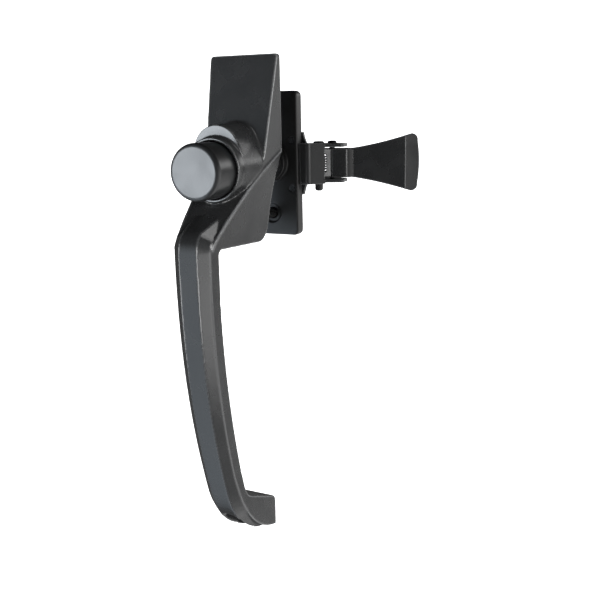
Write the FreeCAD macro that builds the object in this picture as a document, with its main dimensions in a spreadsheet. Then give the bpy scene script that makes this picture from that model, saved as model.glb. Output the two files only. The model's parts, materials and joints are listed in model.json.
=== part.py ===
import FreeCAD, Part
import math
import os

import Sketcher
from FreeCAD import Placement, Rotation, Vector

# Tie-down push-button latch set for an outward-opening screen or storm door.
# Frame: +X right as seen from outside, +Y through the door into the room, +Z up.
# Origin: on the push button's axis, in the plane of the door's outer face.
# The door panel itself fills 0 < Y < door_gap and isn't part of the set.

doc = FreeCAD.newDocument("push_button_latch_set")

# ---------------------------------------------------------------- driving dimensions

DIMENSIONS = [
    # outer handle casting
    ("plate_half_width", 15.85),
    ("plate_top", 44.5),
    ("plate_top_thick", 2.0),
    ("plate_slope", 0.245),
    ("plate_corner", 1.4),
    ("side_draft_x", 10.6),
    ("side_draft_y", 29.0),
    ("gusset_start", 6.5),
    ("gusset_floor", 31.0),
    ("gusset_waist", 10.5),
    ("gusset_waist_height", 13.2),
    ("elbow_height", 29.5),
    ("grip_half_width", 8.1),
    ("grip_waist_half", 7.6),
    ("foot_half_width", 8.6),
    ("grip_front", 46.3),
    ("grip_back", 40.0),
    ("grip_arc", 300.0),
    ("grip_arc_top", 38.0),
    ("grip_arc_turn", 18.66),
    ("heel_arc", 43.5),
    ("spine_rise", 3.3),
    ("spine_half_flat", 4.0),
    ("spine_heel_arc", 41.0),
    ("foot_top", 147.0),
    ("tie_down_height", 156.5),
    ("tie_down_hole", 2.3),
    ("tie_down_slot", 4.2),
    ("tie_down_floor", 9.0),
    ("tie_down_run", 6.3),
    # button barrel
    ("boss_depth", 26.0),
    ("boss_arch", 10.3),
    ("boss_arch_height", 7.0),
    ("boss_root_depth", 3.0),
    ("boss_root_arch", 10.8),
    ("boss_root_arch_height", 7.4),
    ("boss_root_radius", 14.3),
    ("collar_radius", 12.6),
    ("collar_depth", 30.2),
    ("barrel_bore", 11.35),
    ("barrel_floor", 8.0),
    ("button_radius", 11.0),
    ("button_face", 42.9),
    ("button_tail", 23.0),
    ("button_rim", 1.7),
    ("button_wall", 1.6),
    ("rod_radius", 2.5),
    ("rod_tip_end", 29.4),
    ("rod_hole", 2.55),
    ("clip_groove", 1.9),
    ("clip_radius", 5.0),
    ("clip_recess", 6.0),
    ("clip_thick", 0.8),
    ("spring_wire", 0.55),
    ("spring_coil", 5.4),
    ("spring_turns", 8.0),
    # inside latch
    ("door_gap", 20.0),
    ("screw_spacing", 44.45),
    ("screw_radius", 2.05),
    ("screw_head", 3.7),
    ("screw_head_tall", 2.4),
    ("latch_mid", -0.7),
    ("base_half_width", 12.8),
    ("base_tall", 62.4),
    ("base_thick", 5.5),
    ("base_corner", 2.2),
    ("sleeve_radius", 8.0),
    ("sleeve_reach", 3.5),
    ("bush_radius", 4.5),
    ("bracket_half_tall", 8.95),
    ("flange_out", 8.4),
    ("flange_in", 6.95),
    ("web_thick", 1.5),
    ("pin_x", 17.7),
    ("pin_y", 32.0),
    ("pin_radius", 1.8),
    ("pin_drop", 13.1),
    ("rivet_x", 9.9),
    ("rivet_spread", 10.4),
    ("rivet_radius", 1.3),
    ("lever_angle", 15.0),
    ("lever_half_tall", 6.35),
    ("hub_radius", 3.3),
    ("hub_bore", 1.85),
    ("tail_half_tall", 12.4),
    ("tail_reach", 44.1),
    ("tail_lip", 38.2),
    ("neck_start", 6.1),
    ("neck_end", 14.2),
    ("tongue_reach", 48.5),
    ("tongue_thick", 2.6),
    ("tongue_rivet_radius", 1.4),
    ("hinge_coil", 2.9),
    ("hinge_wire", 0.4),
    ("stop_pin_x", 21.2),
    ("stop_pin_y", 38.9),
    ("stop_pin_radius", 1.2),
]

sheet = doc.addObject("Spreadsheet::Sheet", "dims")
for row, (alias, value) in enumerate(DIMENSIONS, start=1):
    sheet.set("A%d" % row, alias)
    sheet.set("B%d" % row, str(value))
    sheet.setAlias("B%d" % row, alias)
doc.recompute()


class Dims:
    """The sheet's cells as plain numbers."""

    def __getattr__(self, alias):
        return float(sheet.get(alias))


d = Dims()

# ---------------------------------------------------------------- modelling helpers


def bind(obj, **expressions):
    """Bind properties to expressions over the sheet, where {x} stands for the cell x."""
    for prop, text in expressions.items():
        obj.setExpression(prop.replace("__", "."), text.replace("{", "dims.").replace("}", ""))


def new_body(name):
    body = doc.addObject("PartDesign::Body", name)
    body.Label = name
    return body


def new_sketch(body, name, role, lift=None):
    """A sketch on one of the body's own origin planes, lifted along the plane's normal."""
    plane = [f for f in body.Origin.OriginFeatures if f.Role == role][0]
    sketch = body.newObject("Sketcher::SketchObject", name)
    sketch.AttachmentSupport = [(plane, "")]
    sketch.MapMode = "FlatFace"
    if lift is not None:
        bind(sketch, AttachmentOffset__Base__z=lift)
    return sketch


def arc_through(p0, p1, p2):
    """A circular arc from p0 through p1 to p2."""
    (ax, ay), (bx, by), (cx, cy) = p0, p1, p2
    det = 2.0 * (ax * (by - cy) + bx * (cy - ay) + cx * (ay - by))
    sa, sb, sc = ax * ax + ay * ay, bx * bx + by * by, cx * cx + cy * cy
    ux = (sa * (by - cy) + sb * (cy - ay) + sc * (ay - by)) / det
    uy = (sa * (cx - bx) + sb * (ax - cx) + sc * (bx - ax)) / det
    start = math.atan2(ay - uy, ax - ux)
    end = math.atan2(cy - uy, cx - ux)
    turn = (bx - ax) * (cy - ay) - (by - ay) * (cx - ax)
    if turn < 0:
        start, end = end, start
    circle = Part.Circle(Vector(ux, uy, 0), Vector(0, 0, 1), math.hypot(ax - ux, ay - uy))
    return Part.ArcOfCircle(circle, start, end)


def draw(sketch, start, *steps):
    """A closed outline: each step is an end point, or a middle and an end point of an arc."""
    here = start
    for step in steps:
        if isinstance(step[0], tuple):
            sketch.addGeometry(arc_through(here, step[0], step[1]), False)
            here = step[1]
        else:
            sketch.addGeometry(Part.LineSegment(Vector(*here, 0), Vector(*step, 0)), False)
            here = step
    if math.dist(here, start) > 1e-9:
        sketch.addGeometry(Part.LineSegment(Vector(*here, 0), Vector(*start, 0)), False)


def draw_circles(sketch, radius, *centres):
    """Circles whose radii are bound to one expression."""
    for cx, cy in centres:
        circle = Part.Circle(Vector(cx, cy, 0), Vector(0, 0, 1), 1.0)
        index = sketch.addGeometry(circle, False)
        constraint = sketch.addConstraint(Sketcher.Constraint("Radius", index, 1.0))
        bind(sketch, **{"Constraints[%d]" % constraint: radius})


def volume(body):
    doc.recompute()
    return body.Shape.Volume


def pad(body, sketch, length, midplane=False):
    feature = body.newObject("PartDesign::Pad", sketch.Name + "_pad")
    feature.Profile = sketch
    bind(feature, Length=length)
    feature.Midplane = midplane
    body.Tip = feature
    return feature


def pocket(body, sketch, length, midplane=False, backwards=False):
    """A cut that must take material away."""
    before = volume(body)
    feature = body.newObject("PartDesign::Pocket", sketch.Name + "_pocket")
    feature.Profile = sketch
    bind(feature, Length=length)
    feature.Midplane = midplane
    feature.Reversed = backwards
    body.Tip = feature
    assert volume(body) < before - 1e-6, sketch.Name + " cuts nothing"
    return feature


def revolve(body, sketch, axis="V_Axis"):
    feature = body.newObject("PartDesign::Revolution", sketch.Name + "_turned")
    feature.Profile = sketch
    feature.ReferenceAxis = (sketch, [axis])
    feature.Angle = 360.0
    body.Tip = feature
    return feature


def mirrored(body, feature, role):
    """The feature repeated on the other side of an origin plane."""
    mirror = body.newObject("PartDesign::Mirrored", feature.Name + "_mirror")
    mirror.Originals = [feature]
    plane = [f for f in body.Origin.OriginFeatures if f.Role == role][0]
    mirror.MirrorPlane = (plane, [""])
    body.Tip = mirror
    return mirror


def dress(body, kind, edges, size, size2=None):
    """A fillet or chamfer on the tip's edges that pass the test, kept only where it holds."""
    doc.recompute()
    base = body.Tip
    names = ["Edge%d" % (i + 1) for i, e in enumerate(base.Shape.Edges) if edges(e)]
    if not names:
        return None
    feature = body.newObject("PartDesign::" + kind, base.Name + "_" + kind.lower())
    feature.Base = (base, names)
    if kind == "Fillet":
        feature.Radius = size
    else:
        feature.Size = size
        if size2 is not None:
            feature.ChamferType = "Two distances"
            feature.Size2 = size2
    body.Tip = feature
    doc.recompute()
    if not feature.isValid() or feature.Shape.isNull() or not feature.Shape.isValid():
        body.Tip = base
        doc.removeObject(feature.Name)
        doc.recompute()
        print("left sharp:", base.Name, kind, size)
        return None
    return feature


def middle(edge):
    """The point half way along an edge."""
    return edge.valueAt(edge.getParameterByLength(edge.Length / 2.0))


def solid_feature(name, shape):
    feature = doc.addObject("Part::Feature", name)
    feature.Label = name
    feature.Shape = shape
    return feature


# ---------------------------------------------------------------- outer handle

GRIP_CENTRE = (d.grip_arc - d.grip_front, -d.grip_arc_top)
TURN = math.radians(d.grip_arc_turn)


def on_grip_arc(radius, turn):
    """A point (Y, Z) on an arc about the grip's centre of curvature."""
    return (GRIP_CENTRE[0] - radius * math.cos(turn), GRIP_CENTRE[1] - radius * math.sin(turn))


def heel(outer, radius, y_end):
    """Middle and end points of the heel arc that follows the grip arc of radius outer."""
    cy, cz = on_grip_arc(outer - radius, TURN)
    end_angle = math.acos((cy - y_end) / radius)
    mid_angle = (TURN + end_angle) / 2.0
    mid = (cy - radius * math.cos(mid_angle), cz - radius * math.sin(mid_angle))
    end = (y_end, cz - radius * math.sin(end_angle))
    return mid, end


def handle_spine(body):
    """The raised middle rib that becomes the grip's flat front, with a bevel down each side."""
    sketch = new_sketch(body, "spine_profile", "YZ_Plane")
    outer = d.grip_arc + d.spine_rise
    front = d.grip_front + d.spine_rise
    apex = (-31.0, -14.3)
    knee_start = (-45.2, -21.9)
    knee_end = (-front, -d.elbow_height)
    knee_mid = (-48.4, -25.0)
    heel_mid, heel_end = heel(outer, d.spine_heel_arc, -5.0)
    draw(
        sketch,
        apex,
        knee_start,
        (knee_mid, knee_end),
        (-front, -d.grip_arc_top),
        (on_grip_arc(outer, TURN / 2.0), on_grip_arc(outer, TURN)),
        (heel_mid, heel_end),
        (-5.0, heel_end[1] + 6.0),
        (-22.0, -144.0),
        on_grip_arc(d.grip_arc - 3.0, TURN),
        (on_grip_arc(d.grip_arc - 3.0, TURN / 2.0), on_grip_arc(d.grip_arc - 3.0, 0.0)),
        (-d.grip_front + 3.0, -d.elbow_height),
        (-31.0, -20.0),
    )
    pad(body, sketch, "2 * {grip_half_width}", midplane=True)
    bevel = d.grip_half_width - d.spine_half_flat

    def on_front(edge):
        p = middle(edge)
        along = abs(edge.tangentAt(edge.FirstParameter).x) < 0.5
        ahead = p.y < on_front_limit(p.z)
        return along and ahead and abs(abs(p.x) - d.grip_half_width) < 1e-6

    dress(body, "Chamfer", on_front, bevel, d.spine_rise)


def on_front_limit(z):
    """The Y that separates the spine's front edges from those buried in the grip."""
    if z > -d.elbow_height:
        return -30.0 if z > -17.5 else -43.5
    radius = d.grip_arc
    return GRIP_CENTRE[0] - math.sqrt(max(radius**2 - (z - GRIP_CENTRE[1]) ** 2, 0.0))


def handle_core(body):
    """Plate, gusset, grip and foot in one side profile."""
    sketch = new_sketch(body, "side_profile", "YZ_Plane")
    ramp_top_z = -1.3
    ramp_top = (-d.plate_top_thick - d.plate_slope * (d.plate_top - ramp_top_z), ramp_top_z)
    heel_mid, heel_end = heel(d.grip_arc, d.heel_arc, 0.0)
    draw(
        sketch,
        (0.0, d.plate_top),
        (-d.plate_top_thick, d.plate_top),
        ramp_top,
        ((-28.8, -13.0), (-43.3, -25.6)),
        ((-45.5, -28.4), (-d.grip_front, -32.0)),
        (-d.grip_front, -d.grip_arc_top),
        (on_grip_arc(d.grip_arc, TURN / 2.0), on_grip_arc(d.grip_arc, TURN)),
        (heel_mid, heel_end),
        (0.0, -d.foot_top - 3.6),
        ((-1.0, -d.foot_top - 1.1), (-3.4, -d.foot_top)),
        (-20.4, -139.4),
        ((-23.2, -137.7), (-25.2, -134.8)),
        ((-35.0, -93.0), (-d.grip_back, -d.grip_arc_top - 2.0)),
        (-d.grip_back, -32.0),
        ((-39.3, -30.2), (-37.6, -29.5)),
        (-7.0, -d.gusset_floor),
        ((-2.1, -29.0), (0.0, -24.0)),
    )
    pad(body, sketch, "2 * {plate_half_width}", midplane=True)


def handle_outline(body):
    """The front outline, hollowed along the gusset, cut away on the right and mirrored."""
    outline = new_sketch(body, "front_outline", "XZ_Plane")
    draw(
        outline,
        (d.plate_half_width, d.gusset_start),
        ((d.gusset_waist, -d.gusset_waist_height), (d.grip_half_width, -d.elbow_height)),
        (d.grip_waist_half, -125.0),
        (d.foot_half_width, -150.0),
        (d.foot_half_width, -170.0),
        (30.0, -170.0),
        (30.0, d.gusset_start),
    )
    mirrored(body, pocket(body, outline, "160", midplane=True), "YZ_Plane")


def handle_draft(body):
    """The draft of the sides towards the grip, cut away on the right and mirrored."""
    draft = new_sketch(body, "side_draft", "XY_Plane")
    draw(
        draft,
        (d.plate_half_width, 0.0),
        (d.side_draft_x, -d.side_draft_y),
        (d.grip_half_width + 0.02, -d.grip_front),
        (d.grip_half_width + 0.02, -60.0),
        (40.0, -60.0),
        (40.0, 0.0),
    )
    mirrored(body, pocket(body, draft, "400", midplane=True), "YZ_Plane")


def egg(sketch, top, height, low):
    """The boss outline: an arch of radius top above, a circle of radius low below."""
    lean = math.asin((low - top) / height)
    right_top = (top * math.cos(lean), height + top * math.sin(lean))
    right_low = (low * math.cos(lean), low * math.sin(lean))
    draw(
        sketch,
        (-right_low[0], right_low[1]),
        ((0.0, -low), right_low),
        right_top,
        ((0.0, height + top), (-right_top[0], right_top[1])),
    )


def handle_barrel(body):
    """The boss and the collar that carry the push button."""
    near = new_sketch(body, "boss_front", "XZ_Plane", "{boss_depth}")
    egg(near, d.boss_arch, d.boss_arch_height, d.collar_radius)
    far = new_sketch(body, "boss_root", "XZ_Plane", "{boss_root_depth}")
    egg(far, d.boss_root_arch, d.boss_root_arch_height, d.boss_root_radius)
    loft = body.newObject("PartDesign::AdditiveLoft", "boss_loft")
    loft.Profile = far
    loft.Sections = [near]
    loft.Ruled = True
    body.Tip = loft
    doc.recompute()
    rim = new_sketch(body, "collar_rim", "XZ_Plane", "12")
    draw_circles(rim, "{collar_radius}", (0.0, 0.0))
    pad(body, rim, "{collar_depth} - 12")


def handle_bores(body):
    """Everything bored into the casting."""
    barrel = new_sketch(body, "barrel_bore_circle", "XZ_Plane", "{barrel_floor}")
    draw_circles(barrel, "{barrel_bore}", (0.0, 0.0))
    pocket(body, barrel, "60", backwards=True)
    rod = new_sketch(body, "rod_hole_circle", "XZ_Plane", "-1")
    draw_circles(rod, "{rod_hole} + 0.15", (0.0, 0.0))
    pocket(body, rod, "20", backwards=True)
    recess = new_sketch(body, "clip_recess_circle", "XZ_Plane")
    draw_circles(recess, "{clip_recess}", (0.0, 0.0))
    pocket(body, recess, "2", backwards=True)
    half = d.screw_spacing / 2.0
    screws = new_sketch(body, "screw_holes", "XZ_Plane")
    draw_circles(screws, "{screw_radius}", (0.0, half), (0.0, -half))
    pocket(body, screws, "5.5", backwards=True)
    slot = new_sketch(body, "tie_down_slot_outline", "XZ_Plane", "{tie_down_floor}")
    wide = d.tie_down_slot
    high = -d.tie_down_height + d.tie_down_run
    low = -d.tie_down_height - 0.3
    draw(
        slot,
        (wide, low),
        (wide, high),
        ((0.0, high + wide), (-wide, high)),
        (-wide, low),
        ((0.0, low - wide), (wide, low)),
    )
    pocket(body, slot, "60", backwards=True)
    tie = new_sketch(body, "tie_down_circle", "XZ_Plane", "-1")
    draw_circles(tie, "{tie_down_hole}", (0.0, -d.tie_down_height))
    pocket(body, tie, "{tie_down_floor} + 2", backwards=True)


def make_handle():
    body = new_body("pull_handle")
    handle_spine(body)
    handle_core(body)
    handle_draft(body)
    handle_barrel(body)
    handle_outline(body)
    handle_bores(body)

    def plate_corner(edge):
        p = middle(edge)
        along = abs(edge.tangentAt(edge.FirstParameter).y) > 0.9
        return along and abs(p.x) > 14.0 and p.z > d.plate_top - 0.5

    dress(body, "Fillet", plate_corner, d.plate_corner)

    def collar_lip(edge):
        return abs(middle(edge).y + d.collar_depth) < 1e-3

    dress(body, "Fillet", collar_lip, 0.4)
    return body


# ---------------------------------------------------------------- push button and its rod


def make_button():
    """A turned cup with a stem inside that takes the rod."""
    body = new_body("push_button")
    sketch = new_sketch(body, "button_section", "XY_Plane")
    face = -d.button_face
    rim = d.button_rim
    inner = d.button_radius - d.button_wall
    cut = rim * (1.0 - math.sqrt(0.5))
    draw(
        sketch,
        (0.0, face),
        (d.button_radius - rim, face),
        ((d.button_radius - cut, face + cut), (d.button_radius, face + rim)),
        (d.button_radius, -d.button_tail),
        (inner, -d.button_tail),
        (inner, face + 2.2),
        (4.2, face + 2.2),
        (4.2, face + 8.0),
        (d.rod_radius, face + 8.0),
        (d.rod_radius, face + 3.0),
        (0.0, face + 3.0),
    )
    revolve(body, sketch)
    return body


def make_rod():
    """The rod from the button to the latch, with a groove for its clip and a threaded nose."""
    body = new_body("plunger_rod")
    sketch = new_sketch(body, "rod_section", "XY_Plane")
    groove_front = -2.0 + 0.3
    groove_back = groove_front + d.clip_thick
    nose = d.rod_tip_end - 6.0
    draw(
        sketch,
        (0.0, -d.button_face + 3.0),
        (d.rod_radius, -d.button_face + 3.0),
        (d.rod_radius, groove_front),
        (d.clip_groove, groove_front),
        (d.clip_groove, groove_back),
        (d.rod_radius, groove_back),
        (d.rod_radius, nose - 1.0),
        (1.6, nose),
        (1.6, d.rod_tip_end - 2.0),
        (0.0, d.rod_tip_end - 2.0),
    )
    revolve(body, sketch)
    return body


def make_rod_tip():
    """The domed nose cap screwed on the rod, which sets the length for the door's thickness."""
    body = new_body("plunger_tip")
    sketch = new_sketch(body, "tip_section", "XY_Plane")
    end = d.rod_tip_end
    rise = 1.4
    dome = (d.rod_radius**2 + rise**2) / (2.0 * rise)
    half_way = math.asin(d.rod_radius / dome) / 2.0
    crown = (dome * math.sin(half_way), end - dome * (1.0 - math.cos(half_way)))
    draw(
        sketch,
        (1.6, end - 6.0),
        (d.rod_radius, end - 6.0),
        (d.rod_radius, end - rise),
        (crown, (0.0, end)),
        (0.0, end - 2.0),
        (1.6, end - 2.0),
    )
    revolve(body, sketch)
    return body


def make_rod_clip():
    """An open retaining ring that stops the rod at the casting's back."""
    body = new_body("plunger_clip")
    lift = "2 - 0.3 - {clip_thick}"
    ring = new_sketch(body, "clip_ring", "XZ_Plane", lift)
    draw_circles(ring, "{clip_radius}", (0.0, 0.0))
    draw_circles(ring, "{clip_groove}", (0.0, 0.0))
    pad(body, ring, "{clip_thick}")
    mouth = new_sketch(body, "clip_mouth", "XZ_Plane", "-5")
    draw(mouth, (-1.5, 0.0), (1.5, 0.0), (1.5, -9.0), (-1.5, -9.0))
    pocket(body, mouth, "12", backwards=True)
    return body


def coil(name, axis_point, axis, start_direction, mean, wire, length, turns, legs=()):
    """A round-wire coil swept along a helix, with its straight legs joined on."""
    pitch = length / turns
    helix = Part.makeHelix(pitch, length, mean)
    section = Part.Wire(Part.makeCircle(wire, Vector(mean, 0, 0), Vector(0, mean, pitch / 6.3)))
    shape = Part.Wire(helix.Edges).makePipeShell([section], True, True)
    solid = Part.Solid(shape) if shape.ShapeType != "Solid" else shape
    turn = Rotation(Vector(0, 0, 1), axis)
    solid.Placement = Placement(axis_point, turn).multiply(
        Placement(Vector(), Rotation(Vector(0, 0, 1), start_direction))
    )
    for a, b in legs:
        run = b - a
        solid = solid.fuse(Part.makeCylinder(wire, run.Length, a, run))
    return solid_feature(name, solid)


def make_button_spring():
    start = Vector(0, -d.barrel_floor - 1.6, 0)
    length = d.button_face - 3.4 - (d.barrel_floor + 1.6)
    turns = d.spring_turns
    return coil(
        "button_spring", start, Vector(0, -1, 0), 0.0, d.spring_coil, d.spring_wire, length, turns
    )


def washer(name, outer, inner, thick, centres, lift):
    """Flat rings on the XZ plane, each its own solid in one node."""
    solids = []
    for cx, cz in centres:
        base = Vector(cx, lift, cz)
        ring = Part.makeCylinder(outer, thick, base, Vector(0, 1, 0))
        hole = Part.makeCylinder(inner, thick, base, Vector(0, 1, 0))
        solids.append(ring.cut(hole))
    shape = solids[0] if len(solids) == 1 else Part.makeCompound(solids)
    return solid_feature(name, shape)


def make_spring_seat():
    lift = -d.barrel_floor - 0.8
    return washer("spring_seat_washer", 7.4, d.rod_hole + 0.25, 0.8, [(0.0, 0.0)], lift)


# ---------------------------------------------------------------- inside base plate


def make_base_plate():
    body = new_body("inside_base_plate")
    sketch = new_sketch(body, "base_outline", "XZ_Plane", "-{door_gap} - {base_thick}")
    wide = d.base_half_width
    top = d.latch_mid + d.base_tall / 2.0
    low = d.latch_mid - d.base_tall / 2.0
    r = d.base_corner
    cut = r * (1.0 - math.sqrt(0.5))
    draw(
        sketch,
        (wide, low + r),
        (wide, top - r),
        ((wide - cut, top - cut), (wide - r, top)),
        (-wide + r, top),
        ((-wide + cut, top - cut), (-wide, top - r)),
        (-wide, low + r),
        ((-wide + cut, low + cut), (-wide + r, low)),
        (wide - r, low),
        ((wide - cut, low + cut), (wide, low + r)),
    )
    pad(body, sketch, "{base_thick}")

    def face_edges(edge):
        p = middle(edge)
        return abs(p.y - d.door_gap) < 1e-3 or abs(p.y - d.door_gap - d.base_thick) < 1e-3

    dress(body, "Fillet", face_edges, 0.7)
    sleeve = new_sketch(body, "sleeve_circle", "XZ_Plane", "-{door_gap} - 1")
    draw_circles(sleeve, "{sleeve_radius}", (0.0, 0.0))
    pad(body, sleeve, "{sleeve_reach} + 1")
    step = new_sketch(body, "sleeve_step", "XZ_Plane", "-{door_gap} + {sleeve_reach}")
    draw_circles(step, "{bush_radius} + 1.6", (0.0, 0.0))
    pocket(body, step, "1")
    bore = new_sketch(body, "bush_bore", "XZ_Plane", "-{door_gap} + 10")
    draw_circles(bore, "{bush_radius}", (0.0, 0.0))
    pocket(body, bore, "30")
    half = d.screw_spacing / 2.0
    screws = new_sketch(body, "base_screw_holes", "XZ_Plane", "-{door_gap} + 10")
    draw_circles(screws, "{screw_radius} + 0.35", (0.0, half), (0.0, -half))
    pocket(body, screws, "30")
    rings = new_sketch(body, "base_screw_rings", "XZ_Plane", "-{door_gap}")
    draw_circles(rings, "{screw_radius} + 2.2", (0.0, half), (0.0, -half))
    pocket(body, rings, "0.7")
    rivets = new_sketch(body, "base_rivet_holes", "XZ_Plane", "-{door_gap} + 10")
    spots = [(d.rivet_x, d.latch_mid + s * d.rivet_spread) for s in (1, -1)]
    draw_circles(rivets, "{rivet_radius}", *spots)
    pocket(body, rivets, "30")
    return body


def make_bush():
    """The plastic bush that guides the rod through the base plate."""
    body = new_body("plunger_bush")
    sketch = new_sketch(body, "bush_section", "XY_Plane")
    front = d.door_gap - d.sleeve_reach + 1.0
    back = d.door_gap + d.base_thick
    draw(
        sketch,
        (d.rod_hole, front - 1.0),
        (d.bush_radius + 1.4, front - 1.0),
        (d.bush_radius + 1.4, front),
        (d.bush_radius, front),
        (d.bush_radius, back),
        (d.rod_hole, back),
    )
    revolve(body, sketch)
    return body


def make_screws():
    """Two pan-head machine screws, one node of two solids."""
    seat = d.door_gap + d.base_thick + 0.8
    solids = []
    for side in (1, -1):
        centre = Vector(0, seat, side * d.screw_spacing / 2.0)
        shank = Part.makeCylinder(d.screw_radius, seat + 5.0, centre, Vector(0, -1, 0))
        head = Part.makeCylinder(d.screw_head, d.screw_head_tall, centre, Vector(0, 1, 0))
        head = head.makeFillet(0.9, [e for e in head.Edges if middle(e).y > seat + 2.0])
        top = centre + Vector(0, d.screw_head_tall - 1.3, 0)
        for turn in (0.0, 90.0):
            slot = Part.makeBox(5.2, 3.0, 1.0, Vector(-2.6, 0, -0.5))
            slot.Placement = Placement(top, Rotation(Vector(0, 1, 0), turn + 20.0))
            head = head.cut(slot)
        solids.append(shank.fuse(head).removeSplitter())
    return solid_feature("mounting_screws", Part.makeCompound(solids))


def make_screw_washers():
    half = d.screw_spacing / 2.0
    lift = d.door_gap + d.base_thick
    inner = d.screw_radius + 0.15
    return washer("screw_washers", 4.4, inner, 0.8, [(0.0, half), (0.0, -half)], lift)


# ---------------------------------------------------------------- lever bracket


def bracket_face():
    """Corner points (X, Y) of the bracket's bent front, from the base plate outwards."""
    side = d.base_half_width
    return [(side, 22.3), (15.7, 22.3), (18.5, 23.7), (22.5, 27.7)]


def make_bracket():
    """A foot riveted on the base plate, a bent front web and two flanges that hold the pins."""
    body = new_body("lever_bracket")
    room = d.door_gap + d.base_thick
    low, high = d.latch_mid - d.bracket_half_tall, d.latch_mid + d.bracket_half_tall
    web = new_sketch(body, "web_section", "XY_Plane", "{latch_mid} - {bracket_half_tall}")
    face = bracket_face()
    t = d.web_thick
    slant = t * math.sqrt(0.5)
    draw(
        web,
        face[0],
        face[1],
        ((17.2, 22.75), face[2]),
        face[3],
        (face[3][0] - slant, face[3][1] + slant),
        (face[2][0] - slant, face[2][1] + slant),
        ((16.5, 24.3), (face[1][0] - 0.2, face[1][1] + t)),
        (d.base_half_width, face[0][1] + t),
    )
    pad(body, web, "2 * {bracket_half_tall}")
    foot = new_sketch(body, "foot_outline", "XZ_Plane", "-{door_gap} - {base_thick} - 1.6")
    mid = d.latch_mid
    edge = 14.6
    reach = d.rivet_spread + 3.2
    draw(
        foot,
        (6.6, mid - reach),
        (13.2, mid - reach),
        ((13.9, mid - reach + 3.0), (edge, low)),
        (edge, high),
        ((13.9, mid + reach - 3.0), (13.2, mid + reach)),
        (6.6, mid + reach),
    )
    pad(body, foot, "1.6")
    link = new_sketch(body, "web_link", "XY_Plane", "{latch_mid} - {bracket_half_tall}")
    side = d.base_half_width
    draw(link, (side, 22.3), (side + t, 22.3), (side + t, room + 1.6), (side, room + 1.6))
    pad(body, link, "2 * {bracket_half_tall}")
    flange = [
        (side, room),
        (side, face[0][1] + 1.0),
        (face[1][0] - 0.3, face[1][1] + 0.8),
        (face[2][0] - 0.5, face[2][1] + 0.5),
        (face[3][0] + 0.2, face[3][1]),
        (29.0, 29.6),
        ((30.0, 30.2), (30.0, 31.4)),
        (29.2, 36.8),
        ((28.8, 38.0), (27.6, 38.4)),
        (22.4, 41.0),
        ((19.8, 41.0), (18.4, 39.6)),
        (11.6, 33.4),
        ((10.6, 32.0), (10.4, 30.4)),
        (9.6, room),
    ]
    upper = new_sketch(body, "upper_flange", "XY_Plane", "{latch_mid} + {flange_in}")
    draw(upper, *flange)
    pad(body, upper, "{flange_out} - {flange_in}")
    lower = new_sketch(body, "lower_flange", "XY_Plane", "{latch_mid} - {flange_out}")
    draw(lower, *flange)
    pad(body, lower, "{flange_out} - {flange_in}")
    pin = new_sketch(body, "pin_holes", "XY_Plane", "40")
    draw_circles(pin, "{pin_radius}", (d.pin_x, d.pin_y))
    pocket(body, pin, "80")
    stop = new_sketch(body, "stop_holes", "XY_Plane", "40")
    draw_circles(stop, "{stop_pin_radius}", (d.stop_pin_x, d.stop_pin_y))
    pocket(body, stop, "80")
    rivets = new_sketch(body, "foot_rivet_holes", "XZ_Plane", "-{door_gap}")
    spots = [(d.rivet_x, mid + s * d.rivet_spread) for s in (1, -1)]
    draw_circles(rivets, "{rivet_radius}", *spots)
    pocket(body, rivets, "20")
    return body


def make_bracket_rivets():
    """Two solid rivets from the bracket's foot through the base plate, staked flush outside."""
    solids = []
    room = d.door_gap + d.base_thick + 1.6
    for side in (1, -1):
        centre = Vector(d.rivet_x, room, d.latch_mid + side * d.rivet_spread)
        shank = Part.makeCylinder(d.rivet_radius, room - d.door_gap, centre, Vector(0, -1, 0))
        head = Part.makeCylinder(2.2, 1.1, centre, Vector(0, 1, 0))
        head = head.makeFillet(0.8, [e for e in head.Edges if middle(e).y > room + 1.0])
        solids.append(shank.fuse(head).removeSplitter())
    return solid_feature("bracket_rivets", Part.makeCompound(solids))


def make_pin(name, x, y, radius, top, low, head=None):
    """A vertical pin with a domed lower end and, where given, a domed head."""
    pin = Part.makeCylinder(radius, top - low, Vector(x, y, low))
    pin = pin.makeFillet(radius * 0.6, [e for e in pin.Edges if middle(e).z < low + 0.1])
    if head:
        cap = Part.makeCylinder(head, 1.0, Vector(x, y, top))
        cap = cap.makeFillet(0.7, [e for e in cap.Edges if middle(e).z > top + 0.9])
        pin = pin.fuse(cap).removeSplitter()
    return solid_feature(name, pin)


# ---------------------------------------------------------------- lever and tongue

LEVER = Placement(
    Vector(d.pin_x, d.pin_y, d.latch_mid), Rotation(Vector(0, 0, 1), d.lever_angle)
)


def turned(body):
    """Set a body made about the pin's axis into its place at rest."""
    body.Placement = LEVER
    bind(body, Placement__Base__x="{pin_x}", Placement__Base__y="{pin_y}")
    bind(body, Placement__Base__z="{latch_mid}")
    return body


ARM_FRONT = -0.4
ARM_BACK = -2.3
ARM_REACH = 13.2
TONGUE_RIVETS = (7.0, 11.0)


def from_pin(along, behind):
    """Local (x, y) of a point towards -X from the pin at rest, and ahead of it in -Y."""
    angle = math.radians(-d.lever_angle)
    x, y = -along, -behind
    return (x * math.cos(angle) - y * math.sin(angle), x * math.sin(angle) + y * math.cos(angle))


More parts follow.
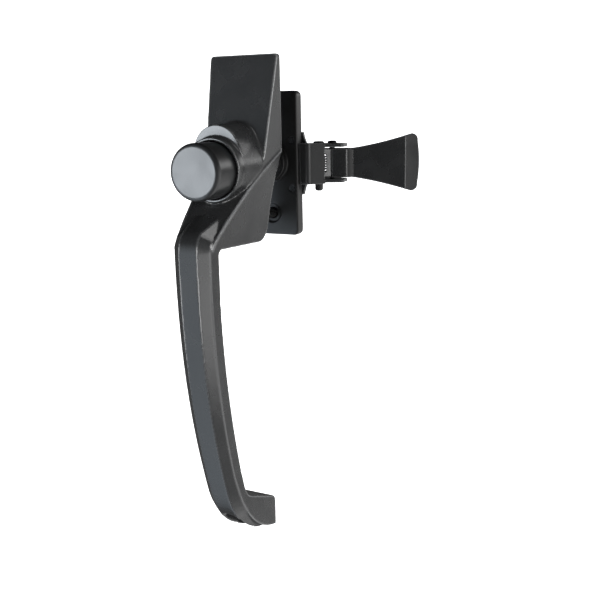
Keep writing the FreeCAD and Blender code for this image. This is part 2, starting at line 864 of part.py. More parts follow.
def make_lever():
    """Two knuckles on the pin, a thick neck and a fishtail thumb piece."""
    body = new_body("thumb_lever")
    plan = new_sketch(body, "neck_plan", "XY_Plane")
    draw(
        plan,
        (d.neck_start, -3.0),
        (d.neck_end - 1.8, -3.0),
        ((d.neck_end - 0.4, -2.6), (d.neck_end + 1.0, -1.5)),
        (d.tail_lip, -1.9),
        (d.tail_reach + 1.0, -0.2),
        (d.tail_reach + 1.0, 1.4),
        (d.tail_lip + 2.0, 0.5),
        (d.neck_end + 3.0, 2.2),
        (d.neck_end, 3.4),
        (d.neck_start, 3.4),
    )
    pad(body, plan, "2 * {tail_half_tall}", midplane=True)
    outline = new_sketch(body, "tail_outline", "XZ_Plane")
    tall = d.lever_half_tall
    tail = d.tail_half_tall
    draw(
        outline,
        (-20.0, tall),
        (d.neck_end + 1.0, tall),
        ((22.5, tall + 1.3), (d.tail_reach - 3.6, tail - 0.1)),
        ((d.tail_reach - 1.6, tail - 0.7), (d.tail_reach - 0.7, tail - 3.2)),
        ((d.tail_reach - 0.17, 4.6), (d.tail_reach, 0.0)),
        (60.0, 0.0),
        (60.0, 40.0),
        (-20.0, 40.0),
    )
    mirrored(body, pocket(body, outline, "60", midplane=True), "XY_Plane")
    arm = new_sketch(body, "hub_plan", "XY_Plane")
    r = d.hub_radius
    draw(
        arm,
        (0.0, -r),
        (d.neck_start + 1.0, -1.8),
        (d.neck_start + 1.0, 3.0),
        (0.0, r),
        ((-r, 0.0), (0.0, -r)),
    )
    pad(body, arm, "2 * {lever_half_tall}", midplane=True)
    inner_arm = new_sketch(body, "inner_arm_plan", "XY_Plane")
    draw(
        inner_arm,
        from_pin(0.5, ARM_FRONT),
        from_pin(ARM_REACH, ARM_FRONT),
        from_pin(ARM_REACH, ARM_BACK),
        from_pin(0.5, ARM_BACK),
    )
    pad(body, inner_arm, "2 * {lever_half_tall} - 3", midplane=True)
    rivet_holes = new_sketch(body, "arm_rivet_holes", "XZ_Plane")
    rivet_holes.AttachmentOffset = Placement(Vector(), Rotation(Vector(0, 1, 0), -d.lever_angle))
    draw_circles(rivet_holes, "{tongue_rivet_radius}", *[(-x, 0.0) for x in TONGUE_RIVETS])
    pocket(body, rivet_holes, "20", midplane=True)
    bore = new_sketch(body, "hub_bore_circle", "XY_Plane")
    draw_circles(bore, "{hub_bore}", (0.0, 0.0))
    pocket(body, bore, "60", midplane=True)
    gap = new_sketch(body, "spring_room", "XY_Plane")
    draw_circles(gap, "{hub_radius} + 0.9", (0.0, 0.0))
    pocket(body, gap, "7.4", midplane=True)
    return turned(body)


def make_tongue():
    """The flat latch bar riveted on the lever's inner arm, with a hooked beak at its end."""
    body = new_body("latch_tongue")
    plan = new_sketch(body, "tongue_plan", "XY_Plane")
    front = d.tongue_thick + ARM_FRONT
    back = ARM_FRONT
    reach = d.tongue_reach
    beak = reach - 9.0
    draw(
        plan,
        from_pin(4.4, front),
        from_pin(beak, front),
        from_pin(beak + 0.6, 12.4),
        (from_pin(beak + 1.2, 13.9), from_pin(beak + 2.8, 13.6)),
        from_pin(reach - 0.8, 5.4),
        (from_pin(reach, 3.0), from_pin(reach - 1.2, 0.8)),
        from_pin(reach - 3.0, back),
        from_pin(4.4, back),
    )
    pad(body, plan, "2 * {lever_half_tall} - 1", midplane=True)
    holes = new_sketch(body, "tongue_rivet_holes", "XZ_Plane")
    holes.AttachmentOffset = Placement(Vector(), Rotation(Vector(0, 1, 0), -d.lever_angle))
    draw_circles(holes, "{tongue_rivet_radius}", *[(-x, 0.0) for x in TONGUE_RIVETS])
    pocket(body, holes, "20", midplane=True)

    def beak_edges(edge):
        p = middle(edge)
        return p.x < from_pin(beak + 0.1, 0.0)[0] and abs(abs(p.z) - 5.85) < 1e-3

    dress(body, "Fillet", beak_edges, 0.6)
    return turned(body)


def make_tongue_rivets():
    """Two rivets through the inner arm and the tongue, flush on the rod's side."""
    solids = []
    front = d.pin_y - d.tongue_thick - ARM_FRONT
    back = d.pin_y - ARM_BACK
    for along in TONGUE_RIVETS:
        centre = Vector(d.pin_x - along, back, d.latch_mid)
        shank = Part.makeCylinder(d.tongue_rivet_radius, back - front, centre, Vector(0, -1, 0))
        head = Part.makeCylinder(1.9, 0.9, centre, Vector(0, 1, 0))
        head = head.makeFillet(0.6, [e for e in head.Edges if middle(e).y > back + 0.8])
        solids.append(shank.fuse(head).removeSplitter())
    return solid_feature("tongue_rivets", Part.makeCompound(solids))


def make_lever_spring():
    """The torsion spring between the knuckles: one leg on the web, one behind the inner arm."""
    mean, wire = d.hinge_coil, d.hinge_wire
    length = 5.6
    low = d.latch_mid - length / 2.0
    foot = Vector(d.pin_x + mean, d.pin_y, low)
    top = Vector(d.pin_x, d.pin_y + mean, low + length)
    legs = [(foot, foot + Vector(0, -3.0, 0)), (top, top + Vector(-9.0, 0, 0))]
    start = Vector(d.pin_x, d.pin_y, low)
    return coil("lever_spring", start, Vector(0, 0, 1), 0.0, mean, wire, length, 5.25, legs)


FLANGE_TOP = d.latch_mid + d.flange_out
FLANGE_LOW = d.latch_mid - d.flange_out


def make_hinge_pin():
    return make_pin("hinge_pin", d.pin_x, d.pin_y, d.pin_radius, FLANGE_TOP, -d.pin_drop, 2.4)


def make_stop_pin():
    low = FLANGE_LOW - 0.2
    return make_pin("stop_pin", d.stop_pin_x, d.stop_pin_y, d.stop_pin_radius, FLANGE_TOP, low, 2.0)


parts = [
    make_handle(),
    make_button(),
    make_rod(),
    make_rod_tip(),
    make_rod_clip(),
    make_button_spring(),
    make_spring_seat(),
    make_base_plate(),
    make_bush(),
    make_screws(),
    make_screw_washers(),
    make_bracket(),
    make_bracket_rivets(),
    make_hinge_pin(),
    make_stop_pin(),
    make_lever(),
    make_tongue(),
    make_tongue_rivets(),
    make_lever_spring(),
]
doc.recompute()

os.makedirs("parts", exist_ok=True)
for obj in doc.Objects:
    assert "Invalid" not in obj.State and "Error" not in obj.State, obj.Name
for part in parts:
    shape = part.Shape
    assert not shape.isNull() and shape.isValid(), part.Label
    shape.exportStep("parts/%s.step" % part.Label)
    box = shape.BoundBox
    print(part.Label, len(shape.Solids), round(shape.Volume, 1), box)
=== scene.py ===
import json
import math

import bmesh
import bpy
import numpy as np
from mathutils import Matrix, Vector


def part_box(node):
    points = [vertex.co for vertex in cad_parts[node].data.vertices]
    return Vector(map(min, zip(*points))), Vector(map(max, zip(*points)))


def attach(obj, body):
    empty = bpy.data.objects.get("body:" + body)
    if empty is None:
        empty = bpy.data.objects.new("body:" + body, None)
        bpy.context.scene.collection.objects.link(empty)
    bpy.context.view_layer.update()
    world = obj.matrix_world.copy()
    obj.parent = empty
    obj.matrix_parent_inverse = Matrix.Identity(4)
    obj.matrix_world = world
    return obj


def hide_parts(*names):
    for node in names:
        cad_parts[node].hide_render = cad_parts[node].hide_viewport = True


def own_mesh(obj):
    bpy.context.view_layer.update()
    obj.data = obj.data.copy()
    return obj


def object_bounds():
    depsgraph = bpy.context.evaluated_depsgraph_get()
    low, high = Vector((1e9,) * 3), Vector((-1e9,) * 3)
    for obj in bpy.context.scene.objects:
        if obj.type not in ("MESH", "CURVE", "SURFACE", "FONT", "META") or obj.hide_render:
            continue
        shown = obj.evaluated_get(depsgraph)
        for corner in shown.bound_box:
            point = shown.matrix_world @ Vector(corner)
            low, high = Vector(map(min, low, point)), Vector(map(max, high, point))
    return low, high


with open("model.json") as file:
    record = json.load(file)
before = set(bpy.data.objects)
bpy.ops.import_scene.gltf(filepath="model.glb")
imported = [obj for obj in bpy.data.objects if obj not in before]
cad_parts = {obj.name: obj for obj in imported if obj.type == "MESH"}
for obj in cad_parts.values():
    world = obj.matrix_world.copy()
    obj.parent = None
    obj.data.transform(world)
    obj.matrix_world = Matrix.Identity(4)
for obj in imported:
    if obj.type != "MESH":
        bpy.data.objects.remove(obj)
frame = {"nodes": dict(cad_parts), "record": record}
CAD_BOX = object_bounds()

# Lengths in this script are millimetres; MM turns them into Blender's metres.
MM = 0.001
TINY = 1e-9
NODES = frame["nodes"]
SLOT_OF = {part["node"]: part["material_slot"] for part in frame["record"]["subparts"]}
BODY_OF = {
    node: body
    for body, nodes in frame["record"]["behaviour"]["bodies"].items()
    for node in nodes
}


def span(node):
    """A CAD node's lowest and highest corners in millimetres."""
    low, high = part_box(node)
    return low / MM, high / MM


def place(obj):
    bpy.context.scene.collection.objects.link(obj)
    return obj


# ------------------------------------------------------------------ camera

AZIMUTH, ELEVATION, ROLL = math.radians(26.06), math.radians(12.64), math.radians(1.106)
AIM = Vector((21.6, -2.7, -53.4))
DISTANCE = 342.5
FOCAL_LENGTH = 49.84
SENSOR = 36.0
CLIP_METRES = (0.01, 20.0)


def make_camera():
    """The viewer stands a little to the right of the handle and above it."""
    back = Vector(
        (
            math.sin(AZIMUTH) * math.cos(ELEVATION),
            -math.cos(AZIMUTH) * math.cos(ELEVATION),
            math.sin(ELEVATION),
        )
    )
    right = Vector((math.cos(AZIMUTH), math.sin(AZIMUTH), 0.0))
    up = back.cross(right)
    turn = Matrix.Rotation(-ROLL, 3, back)
    data = bpy.data.cameras.new("camera")
    data.lens = FOCAL_LENGTH
    data.sensor_width = SENSOR
    data.clip_start, data.clip_end = CLIP_METRES
    camera = place(bpy.data.objects.new("camera", data))
    axes = Matrix([turn @ right, turn @ up, back]).transposed()
    camera.matrix_world = Matrix.Translation((AIM + back * DISTANCE) * MM) @ axes.to_4x4()
    bpy.context.scene.camera = camera


make_camera()

# ------------------------------------------------------------------ materials

# The bend mask and the lighter grey of a painted highlight along sharp convex edges.
EDGE_MARK = "painted_edge_highlight"
EDGE_HIGHLIGHT_GREY = 0.12


class Graph:
    """Short names for building a node tree."""

    def __init__(self, tree):
        self.tree = tree

    def feed(self, socket, value):
        """Links an output to the socket, or sets the socket's own value."""
        if isinstance(value, bpy.types.NodeSocket):
            self.tree.links.new(value, socket)
        else:
            socket.default_value = value

    def node(self, kind, values=None):
        made = self.tree.nodes.new(kind)
        for name, value in (values or {}).items():
            self.feed(made.inputs[name], value)
        return made

    def ramp(self, value, low, high, to_low, to_high):
        limits = {"From Min": low, "From Max": high, "To Min": to_low, "To Max": to_high}
        return self.node("ShaderNodeMapRange", {"Value": value, **limits}).outputs["Result"]


class Finish(Graph):
    """A material on one Principled shader."""

    def __init__(self, name):
        self.material = bpy.data.materials.new(name)
        self.material.use_nodes = True
        super().__init__(self.material.node_tree)
        self.shader = self.tree.nodes["Principled BSDF"]
        self.spot = self.node("ShaderNodeTexCoord").outputs["Object"]

    def noise(self, scale, detail=4.0, distortion=0.0):
        """Cloudy variation; scale is in features per metre."""
        values = {"Vector": self.spot, "Scale": scale, "Detail": detail, "Distortion": distortion}
        return self.node("ShaderNodeTexNoise", values).outputs["Fac"]

    def mix(self, factor, a, b):
        made = self.tree.nodes.new("ShaderNodeMix")
        made.data_type = "RGBA"
        for name, kind, value in (("Factor", "VALUE", factor), ("A", "RGBA", a), ("B", "RGBA", b)):
            sockets = [s for s in made.inputs if s.name == name and s.type == kind]
            self.feed(sockets[0], value)
        return [s for s in made.outputs if s.type == "RGBA"][0]

    def give(self, name, value):
        self.feed(self.shader.inputs[name], value)

    def bump(self, height, strength, distance):
        values = {"Height": height, "Strength": strength, "Distance": distance * MM}
        self.give("Normal", self.node("ShaderNodeBump", values).outputs["Normal"])

    def edges(self, share):
        """The share of painted edge highlight: from 0 on flats to the given share on sharp convex
        edges, as mark_edges measured them.
        """
        mark = self.tree.nodes.new("ShaderNodeAttribute")
        mark.attribute_name = EDGE_MARK
        return self.ramp(mark.outputs["Fac"], 0.0, 1.0, 0.0, share)


def grey(level, tint=0.0):
    """A grey that a positive tint turns blue and a negative one turns warm."""
    return (level * (1.0 - tint), level, level * (1.0 + tint), 1.0)


def paint(name, level, rough, peel=0.16, edge_highlight=0.5):
    """Satin black paint: faint orange peel, uneven gloss and a painted highlight, a lighter grey on
    sharp edges.
    """
    f = Finish(name)
    broad = f.noise(90.0, 5.0, 0.4)
    fine = f.noise(1100.0, 5.0)
    film = f.mix(broad, grey(level * 0.75, 0.04), grey(level * 1.3, 0.02))
    # Sharp edges are mixed towards a lighter grey: a painted highlight for the bright lines along
    # the edges.
    f.give("Base Color", f.mix(f.edges(edge_highlight), film, grey(EDGE_HIGHLIGHT_GREY, 0.02)))
    f.give("Roughness", f.ramp(broad, 0.3, 0.7, rough * 0.85, rough * 1.15))
    f.bump(fine, peel, 0.06)
    return f.material


def moulding(name, level, rough, grain=0.35):
    """Moulded plastic with a fine spark-eroded texture."""
    f = Finish(name)
    broad = f.noise(70.0)
    fine = f.noise(2600.0, 3.0)
    f.give("Base Color", f.mix(broad, grey(level * 0.8), grey(level * 1.25)))
    f.give("Roughness", f.ramp(fine, 0.3, 0.7, rough * 0.85, rough * 1.15))
    f.bump(fine, grain, 0.05)
    return f.material


def steel(name, level, rough, metallic=1.0, warm=0.0, brushed=0.12):
    """Plated or oiled steel with marks drawn along Y and a little staining."""
    f = Finish(name)
    f.give("Metallic", metallic)
    stain = f.noise(160.0, 6.0, 0.6)
    drawn = f.node("ShaderNodeMapping", {"Vector": f.spot, "Scale": (3000.0, 260.0, 3000.0)})
    stretched = {"Vector": drawn.outputs["Vector"], "Scale": 1.0, "Detail": 2.0}
    lines = f.node("ShaderNodeTexNoise", stretched).outputs["Fac"]
    f.give("Base Color", f.mix(stain, grey(level * 0.78, -warm), grey(level * 1.1, -warm)))
    f.give("Roughness", f.ramp(lines, 0.25, 0.75, rough * 0.75, rough * 1.3))
    f.bump(lines, brushed, 0.02)
    return f.material


MATERIALS = {
    "painted_casting": paint("casting_paint", 0.012, 0.26),
    "painted_button": paint("button_paint", 0.014, 0.32, peel=0.3),
    "painted_lever": paint("lever_paint", 0.010, 0.27, peel=0.2),
    "black_sheet_steel": paint("bracket_coating", 0.013, 0.30, peel=0.12),
    "black_moulding": moulding("base_plastic", 0.008, 0.36),
    "bush_plastic": moulding("bush_plastic", 0.040, 0.35, grain=0.1),
    "zinc_plated_steel": steel("zinc_plate", 0.56, 0.26),
    "spring_steel": steel("spring_wire", 0.12, 0.30, warm=0.01),
    "black_screw_steel": steel("screw_oxide", 0.045, 0.30, metallic=0.7),
    "rivet_steel": steel("rivet_plate", 0.26, 0.33),
    "pin_steel": steel("pin_oxide", 0.030, 0.27, metallic=0.5),
}

# ------------------------------------------------------------------ mesh helpers


def make_mesh(name, verts, faces):
    """A mesh from millimetre points, with its faces turned outwards."""
    mesh = bpy.data.meshes.new(name)
    mesh.from_pydata([Vector(v) * MM for v in verts], [], faces)
    work = bmesh.new()
    work.from_mesh(mesh)
    bmesh.ops.recalc_face_normals(work, faces=work.faces)
    work.to_mesh(mesh)
    work.free()
    return mesh


def ring_faces(a, b):
    """Quads between two rings with the same number of points."""
    count = len(a)
    return [(a[k], a[(k + 1) % count], b[(k + 1) % count], b[k]) for k in range(count)]


def mark_edges(mesh, flat=0.12, sharp=0.8):
    """Stores each point's bend, from 0 at the flat limit to 1 at the sharp one, both in 1/mm, as
    the mask of the painted edge highlight.
    """
    count = len(mesh.vertices)
    spots, normals = np.empty(count * 3), np.empty(count * 3)
    mesh.vertices.foreach_get("co", spots)
    mesh.vertices.foreach_get("normal", normals)
    spots, normals = spots.reshape(-1, 3) / MM, normals.reshape(-1, 3)
    ends = np.empty(len(mesh.edges) * 2, dtype=np.int64)
    mesh.edges.foreach_get("vertices", ends)
    a, b = ends.reshape(-1, 2).T
    run = spots[b] - spots[a]
    square = np.maximum((run**2).sum(axis=1), 1e-6)
    bend, links = np.zeros(count), np.zeros(count)
    np.add.at(bend, a, -2.0 * (run * normals[a]).sum(axis=1) / square)
    np.add.at(bend, b, 2.0 * (run * normals[b]).sum(axis=1) / square)
    np.add.at(links, a, 1.0)
    np.add.at(links, b, 1.0)
    bend /= np.maximum(links, 1.0)
    near = bend.copy()
    np.add.at(near, a, bend[b])
    np.add.at(near, b, bend[a])
    near /= links + 1.0
    level = np.clip((near - flat) / (sharp - flat), 0.0, 1.0)
    mark = mesh.attributes.new(EDGE_MARK, "FLOAT", "POINT")
    mark.data.foreach_set("value", level.astype(np.float32))


def add_piece(name, mesh, node):
    """A smooth-shaded mesh that stands for one CAD node, on its body and in its slot."""
    obj = place(bpy.data.objects.new(name, mesh))
    mesh.materials.clear()
    mesh.materials.append(MATERIALS[SLOT_OF[node]])
    mesh.shade_smooth()
    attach(obj, BODY_OF[node])
    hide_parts(node)
    return obj


def join(meshes, name):
    """Several meshes in one."""
    work = bmesh.new()
    for mesh in meshes:
        work.from_mesh(mesh)
    joined = bpy.data.meshes.new(name)
    work.to_mesh(joined)
    work.free()
    return joined


def welded_copy(node, reach=0.002):
    """A copy of the CAD node's mesh with its faces joined along their edges."""
    mesh = NODES[node].data.copy()
    work = bmesh.new()
    work.from_mesh(mesh)
    bmesh.ops.remove_doubles(work, verts=work.verts, dist=reach * MM)
    work.to_mesh(mesh)
    work.free()
    return mesh


def soften(obj, grid, passes):
    """Rebuilds a piece on a fine even grid and rounds its edges, as casting and paint do."""
    remesh = obj.modifiers.new("remesh", "REMESH")
    remesh.mode = "VOXEL"
    remesh.voxel_size = grid * MM
    remesh.use_smooth_shade = True
    smooth = obj.modifiers.new("smooth", "SMOOTH")
    smooth.factor = 0.5
    smooth.iterations = passes
    graph = bpy.context.evaluated_depsgraph_get()
    mesh = bpy.data.meshes.new_from_object(obj.evaluated_get(graph))
    obj.modifiers.clear()
    obj.data = mesh
    # The bend is the mask of the painted edge highlight.
    mark_edges(mesh)


def rounded(outline, steps=8, pull=0.8):
    """A closed outline of (u, v, radius) corners with each corner rounded off.

    Pull is how far the curve leans into the corner: 0 cuts straight across, and 1 leaves both
    sides without a kink.
    """
    points = []
    for i, (u, v, radius) in enumerate(outline):
        here = Vector((u, v))
        before = Vector(outline[i - 1][:2]) - here
        after = Vector(outline[(i + 1) % len(outline)][:2]) - here
        half_angle = before.angle(after) / 2.0
        reach = min(radius / math.tan(half_angle), 0.48 * before.length, 0.48 * after.length)
        if radius <= 0.0:
            points.append((u, v))
            continue
        start = here + before.normalized() * reach
        end = here + after.normalized() * reach
        corner = (1.0 - pull) * (start + end) / 2 + pull * here
        for k in range(steps + 1):
            t = k / steps
            points.append(tuple((1 - t) ** 2 * start + 2 * t * (1 - t) * corner + t * t * end))
    return points


def braced(outline, gap=0.15, least=0.8):
    """The outline with points added near the ends of its long runs, to keep flats flat."""
    points = []
    for i, here in enumerate(outline):
        points.append(here)
        start, end = Vector(here), Vector(outline[(i + 1) % len(outline)])
        run = end - start
        if run.length > least and max(start.x, end.x) > TINY:
            step = run.normalized() * gap
            points += [tuple(start + step), tuple(end - step)]
    return points


def lathe(name, profile, steps=128):
    """A solid turned about the Y axis: a closed outline of (radius, Y) points."""
    verts, rows = [], []
    for radius, y in braced(profile):
        count = steps if radius > TINY else 1
        turns = [2.0 * math.pi * k / steps for k in range(count)]
        rows.append(list(range(len(verts), len(verts) + count)))
        verts += [(radius * math.cos(turn), y, radius * math.sin(turn)) for turn in turns]
    faces = []
    for a, b in zip(rows, rows[1:] + rows[:1]):
        if len(a) == 1 and len(b) == 1:
            continue
        for k in range(steps):
            quad = [a[k % len(a)], a[(k + 1) % len(a)], b[(k + 1) % len(b)], b[k % len(b)]]
            faces.append(tuple(dict.fromkeys(quad)))
    return make_mesh(name, verts, faces)


def tube(name, path, radius, sides=14):
    """A round wire with rounded ends along a list of points."""
    path = [Vector(p) for p in path]
    ahead, behind = path[1:] + path[-1:], path[:1] + path[:-1]
    tangents = [(b - a).normalized() for a, b in zip(behind, ahead)]
    side = tangents[0].orthogonal().normalized()
    dome = 0.6 * radius
    first, last = (path[0], tangents[0]), (path[-1], tangents[-1])
    stations = [(*first, -dome * (1.0 - share), share**0.5) for share in (0.35, 0.8)]
    stations += [(point, tangent, 0.0, 1.0) for point, tangent in zip(path, tangents)]
    stations += [(*last, dome * (1.0 - share), share**0.5) for share in (0.8, 0.35)]
    verts, rows = [], []
    for point, tangent, shift, width in stations:
        side = (side - tangent * side.dot(tangent)).normalized()
        up = tangent.cross(side)
        rows.append(list(range(len(verts), len(verts) + sides)))
        for k in range(sides):
            turn = 2.0 * math.pi * k / sides
            reach = (side * math.cos(turn) + up * math.sin(turn)) * radius * width
            verts.append(point + tangent * shift + reach)
    faces = [face for a, b in zip(rows, rows[1:]) for face in ring_faces(a, b)]
    faces += [tuple(rows[0]), tuple(rows[-1])]
    return make_mesh(name, verts, faces)


# ------------------------------------------------------------------ outer handle

# The right side's ridge, from the plate down to the elbow.
RIDGE = [
    (15.6, -1.0, 6.1),
    (14.6, -6.8, 2.6),
    (13.4, -13.2, -1.3),
    (12.2, -20.0, -6.2),
    (10.6, -28.6, -13.2),
    (9.6, -36.0, -19.1),
    (8.6, -42.6, -25.0),
    (8.1, -45.4, -28.6),
]
RIDGE_RADIUS = 0.68
# The right upper corner of the grip's raised middle in the CAD, and where it goes here.
CAD_SPINE_CORNER = (4.0, -31.0, -14.3)
SPINE_POINT = (0.8, -33.2, -16.6)
CORNER_REACH = 1.2


def make_handle():
    """The casting, with a fine ridge down each side and its raised middle run to a point."""
    beads, moves = [], []
    for side in (1, -1):
        flip = Vector((side, 1, 1))
        beads.append(tube("ridge", [Vector(p) * flip for p in RIDGE], RIDGE_RADIUS))
        moves.append((Vector(CAD_SPINE_CORNER) * flip, Vector(SPINE_POINT) * flip))
    shell = welded_copy("pull_handle")
    for vert in shell.vertices:
        for corner, point in moves:
            if (vert.co / MM - corner).length < CORNER_REACH:
                vert.co = point * MM
    mesh = join([shell, *beads], "handle")
    soften(add_piece("handle_casting", mesh, "pull_handle"), 0.40, 8)


BORE, COLLAR = 11.35, 12.6
BOSS_ARCH, BOSS_RISE = 10.3, 7.0
BOSS_FRONT, COLLAR_FRONT, FACE_BACK = -26.04, -30.24, -24.6


def boss_outline(samples=240):
    """Angle and radius of the boss outline's right half: an arch above the collar's circle."""
    lean = math.asin((COLLAR - BOSS_ARCH) / BOSS_RISE)
    angles, radii = [], []
    for k in range(samples + 1):
        turn = -math.pi / 2.0 + math.pi * k / samples
        radius, rise = (COLLAR, 0.0) if turn < lean else (BOSS_ARCH, BOSS_RISE)
        x, z = radius * math.cos(turn), rise + radius * math.sin(turn)
        angles.append(math.atan2(z, x))
        radii.append(math.hypot(x, z))
    return angles, radii


def make_barrel_face(steps=160):
    """The front of the barrel: the boss's flat end and the collar round the button."""
    outline = boss_outline()
    verts, rows = [], []
    for k in range(steps):
        angle = 2.0 * math.pi * k / steps
        outer = float(np.interp(math.atan2(math.sin(angle), abs(math.cos(angle))), *outline))
        profile = [
            (outer - 0.35, FACE_BACK),
            (outer - 0.05, BOSS_FRONT + 0.5),
            (outer - 0.12, BOSS_FRONT + 0.2),
            (outer - 0.35, BOSS_FRONT),
            (outer - 0.5, BOSS_FRONT),
            (min(outer - 0.52, COLLAR + 0.35), BOSS_FRONT),
            (min(outer - 0.54, COLLAR + 0.12), BOSS_FRONT - 0.06),
            (COLLAR - 0.02, BOSS_FRONT - 0.3),
            (COLLAR, BOSS_FRONT - 0.5),
            (COLLAR, COLLAR_FRONT + 0.5),
            (COLLAR - 0.08, COLLAR_FRONT + 0.2),
            (COLLAR - 0.35, COLLAR_FRONT + 0.03),
            (COLLAR - 0.5, COLLAR_FRONT),
            (BORE + 0.4, COLLAR_FRONT),
            (BORE + 0.1, COLLAR_FRONT + 0.12),
            (BORE, COLLAR_FRONT + 0.4),
            (BORE, FACE_BACK),
        ]
        rows.append(list(range(len(verts), len(verts) + len(profile))))
        verts += [(r * math.cos(angle), y, r * math.sin(angle)) for r, y in profile]
    faces = [face for a, b in zip(rows, rows[1:] + rows[:1]) for face in ring_faces(a, b)]
    add_piece("barrel_face", make_mesh("barrel_face", verts, faces), "pull_handle")


make_handle()
make_barrel_face()

# ------------------------------------------------------------------ button and its spring

BUTTON_RIM, BUTTON_WALL, BUTTON_FLOOR = 1.7, 1.6, 2.2
STEM, STEM_REACH = 4.2, 8.0
ROD, ROD_SEAT = 2.5, 3.0
SPRING_WIRE, SPRING_MEAN, SPRING_TURNS = 0.55, 5.4, 8


def make_button():
    """A turned cup with a stem inside that takes the rod."""
    low, high = span("push_button")
    radius = (high.x - low.x) / 2.0
    face, tail = low.y, high.y
    inner = radius - BUTTON_WALL
    profile = [
        (0.0, face, 0.0),
        (radius, face, BUTTON_RIM),
        (radius, tail, 0.4),
        (inner, tail, 0.3),
        (inner, face + BUTTON_FLOOR, 0.5),
        (STEM, face + BUTTON_FLOOR, 0.5),
        (STEM, face + STEM_REACH, 0.3),
        (ROD, face + STEM_REACH, 0.2),
        (ROD, face + ROD_SEAT, 0.0),
        (0.0, face + ROD_SEAT, 0.0),
    ]
    add_piece("button_cap", lathe("button", rounded(profile)), "push_button")


def make_button_spring(points_a_turn=40):
    """The coil between the barrel's floor and the button, which the button squeezes as it goes in;
    the mesh keeps one length.
    """
    low, high = span("button_spring")
    start, end = high.y - SPRING_WIRE, low.y + SPRING_WIRE
    path = []
    count = SPRING_TURNS * points_a_turn
    for i in range(count + 1):
        share = i / count
        angle = 2.0 * math.pi * SPRING_TURNS * share
        x, z = SPRING_MEAN * math.cos(angle), SPRING_MEAN * math.sin(angle)
        path.append((x, start + (end - start) * share, z))
    mesh = tube("return_spring", path, SPRING_WIRE, sides=12)
    spring = add_piece("return_spring", mesh, "button_spring")
    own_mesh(spring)


make_button()
make_button_spring()

# ------------------------------------------------------------------ inside latch

# Each node's grid in millimetres and its smoothing passes.
for node, grid, passes in (
    ("inside_base_plate", 0.30, 4),
    ("lever_bracket", 0.20, 4),
    ("thumb_lever", 0.24, 5),
    ("latch_tongue", 0.22, 4),
):
    soften(add_piece(node + "_body", welded_copy(node), node), grid, passes)

for node, obj in NODES.items():
    obj.data.materials.clear()
    obj.data.materials.append(MATERIALS[SLOT_OF[node]])

# ------------------------------------------------------------------ stage and light

WHITE = grey(1.0)
FLOOR_DROP = 60.0
SWEEP_HALF, SWEEP_CURVE, SWEEP_BACK, SWEEP_TOP = 3000.0, 900.0, 1700.0, 3500.0
PAPER_GLOW = 1.5


def make_stage(steps=24):
    """White paper under and behind the handle, bright enough to wash out its own shadow."""
    floor = CAD_BOX[0].z / MM - FLOOR_DROP
    rows = [(-SWEEP_HALF, floor)]
    for i in range(steps + 1):
        angle = math.pi / 2.0 * i / steps
        rise = SWEEP_CURVE * (1.0 - math.cos(angle))
        rows.append((SWEEP_BACK + SWEEP_CURVE * math.sin(angle), floor + rise))
    rows.append((SWEEP_BACK + SWEEP_CURVE, floor + SWEEP_TOP))
    verts = [(x, y, z) for y, z in rows for x in (-SWEEP_HALF, SWEEP_HALF)]
    faces = [(2 * i, 2 * i + 1, 2 * i + 3, 2 * i + 2) for i in range(len(rows) - 1)]
    mesh = make_mesh("sweep", verts, faces)
    sweep = place(bpy.data.objects.new("sweep", mesh))
    paper = Finish("paper")
    paper.give("Base Color", grey(0.8))
    paper.give("Roughness", 0.9)
    paper.give("Emission Color", WHITE)
    paper.give("Emission Strength", PAPER_GLOW)
    mesh.materials.append(paper.material)
    sweep.visible_glossy = False


# The light round the horizon: a heading in degrees, anticlockwise from +X, and its strength.
HORIZON = [
    (-180, 0.35),
    (-150, 0.9),
    (-132, 1.6),
    (-108, 1.6),
    (-98, 0.12),
    (-66, 0.12),
    (-46, 0.4),
    (-30, 0.8),
    (0, 1.4),
    (42, 1.9),
    (54, 0.4),
    (66, 0.4),
    (76, 1.3),
    (92, 0.6),
    (112, 0.12),
    (180, 0.12),
]
COOL, COOL_BEFORE = 0.12, -90
# Keeps the tinted colours in the colour ramp below 1.
TINT_ROOM = 1.2


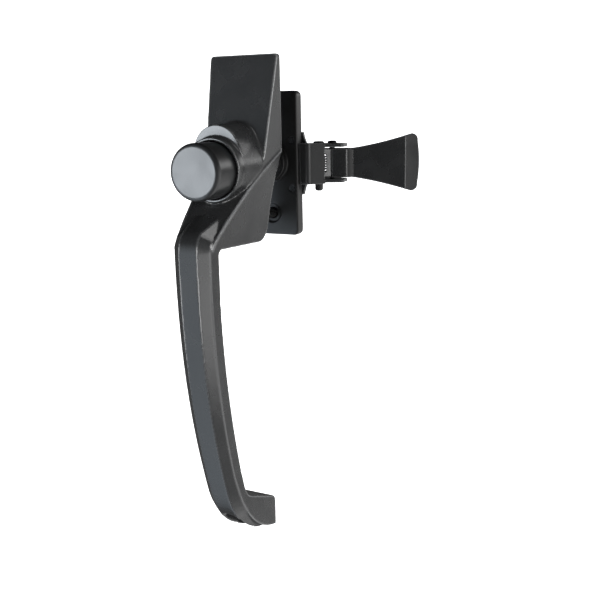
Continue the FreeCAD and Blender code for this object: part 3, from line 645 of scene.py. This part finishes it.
def make_world():
    """Soft light from both sides of the viewer, a dim gap between them and a dark ceiling.

    The viewer's own rays see plain white instead.
    """
    brightest = TINT_ROOM * max(level for _, level in HORIZON)
    world = bpy.data.worlds.new("studio")
    world.use_nodes = True
    g = Graph(world.node_tree)
    direction = g.node("ShaderNodeTexCoord").outputs["Generated"]
    split = g.node("ShaderNodeSeparateXYZ", {"Vector": direction}).outputs
    heading = g.node("ShaderNodeMath", {0: split["Y"], 1: split["X"]})
    heading.operation = "ARCTAN2"
    turn = g.ramp(heading.outputs["Value"], -math.pi, math.pi, 0.0, 1.0)
    levels = g.node("ShaderNodeValToRGB", {"Fac": turn})
    stops = levels.color_ramp.elements
    while len(stops) < len(HORIZON):
        stops.new(0.5)
    for stop, (angle, level) in zip(stops, HORIZON):
        stop.position = (angle + 180.0) / 360.0
        stop.color = grey(level / brightest, COOL if angle < COOL_BEFORE else 0.0)
    lit = g.tree.nodes["Background"]
    g.feed(lit.inputs["Color"], levels.outputs["Color"])
    g.feed(lit.inputs["Strength"], g.ramp(split["Z"], -0.15, 0.5, brightest, 0.1))
    plain = g.node("ShaderNodeBackground", {"Color": WHITE})
    seen = g.node("ShaderNodeLightPath").outputs["Is Camera Ray"]
    shown = g.node("ShaderNodeMixShader", {0: seen, 1: lit.outputs[0], 2: plain.outputs[0]})
    g.feed(g.tree.nodes["World Output"].inputs["Surface"], shown.outputs[0])
    bpy.context.scene.world = world


def area_light(name, spot, target, size, radiance, only=(), tint=0.0):
    """A soft box that reads as this radiance in a mirror; any named pieces are all it lights."""
    data = bpy.data.lights.new(name, "AREA")
    data.color = grey(1.0, tint)[:3]
    data.shape = "RECTANGLE"
    data.size, data.size_y = size[0] * MM, size[1] * MM
    data.energy = radiance * math.pi * data.size * data.size_y
    light = place(bpy.data.objects.new(name, data))
    light.location = Vector(spot) * MM
    light.rotation_mode = "QUATERNION"
    light.rotation_quaternion = (Vector(target) - Vector(spot)).to_track_quat("-Z", "Y")
    if only:
        group = bpy.data.collections.new(name + "_lights")
        for piece in only:
            group.objects.link(bpy.data.objects[piece])
        light.light_linking.receiver_collection = group


def make_lights():
    """Cards for the tone of each face, and softer boxes for the bright lines along the edges."""
    faces = ("button_cap", "barrel_face")
    cast = ("handle_casting", "barrel_face")
    lever = ("thumb_lever_body",)
    bracket = ("lever_bracket_body",)
    area_light("card_left", (-520, -826, -15), (0, -40, 0), (560, 440), 11.0, faces, 0.06)
    area_light("card_right", (780, -640, -360), (0, -40, -60), (480, 560), 2.9, cast)
    area_light("card_back", (480, 880, 210), (0, -40, 0), (380, 240), 2.6)
    area_light("card_top", (450, 180, 880), (0, -40, -20), (420, 420), 4.5, cast)
    area_light("card_neck", (545, -838, -40), (31, 33, 0), (80, 200), 24.0, lever)
    area_light("card_band", (576, -806, -40), (17, 23, 0), (160, 200), 8.5, bracket)
    area_light("edge_front", (310, -990, -60), (0, -40, -60), (340, 900), 13.0, cast)
    area_light("edge_right", (960, -200, 230), (0, -40, 0), (420, 520), 12.0, cast)
    area_light("edge_left", (-870, -540, -120), (0, -40, -60), (260, 800), 9.0, cast)


make_stage()
make_world()
make_lights()
bpy.context.scene.view_settings.view_transform = "Standard"
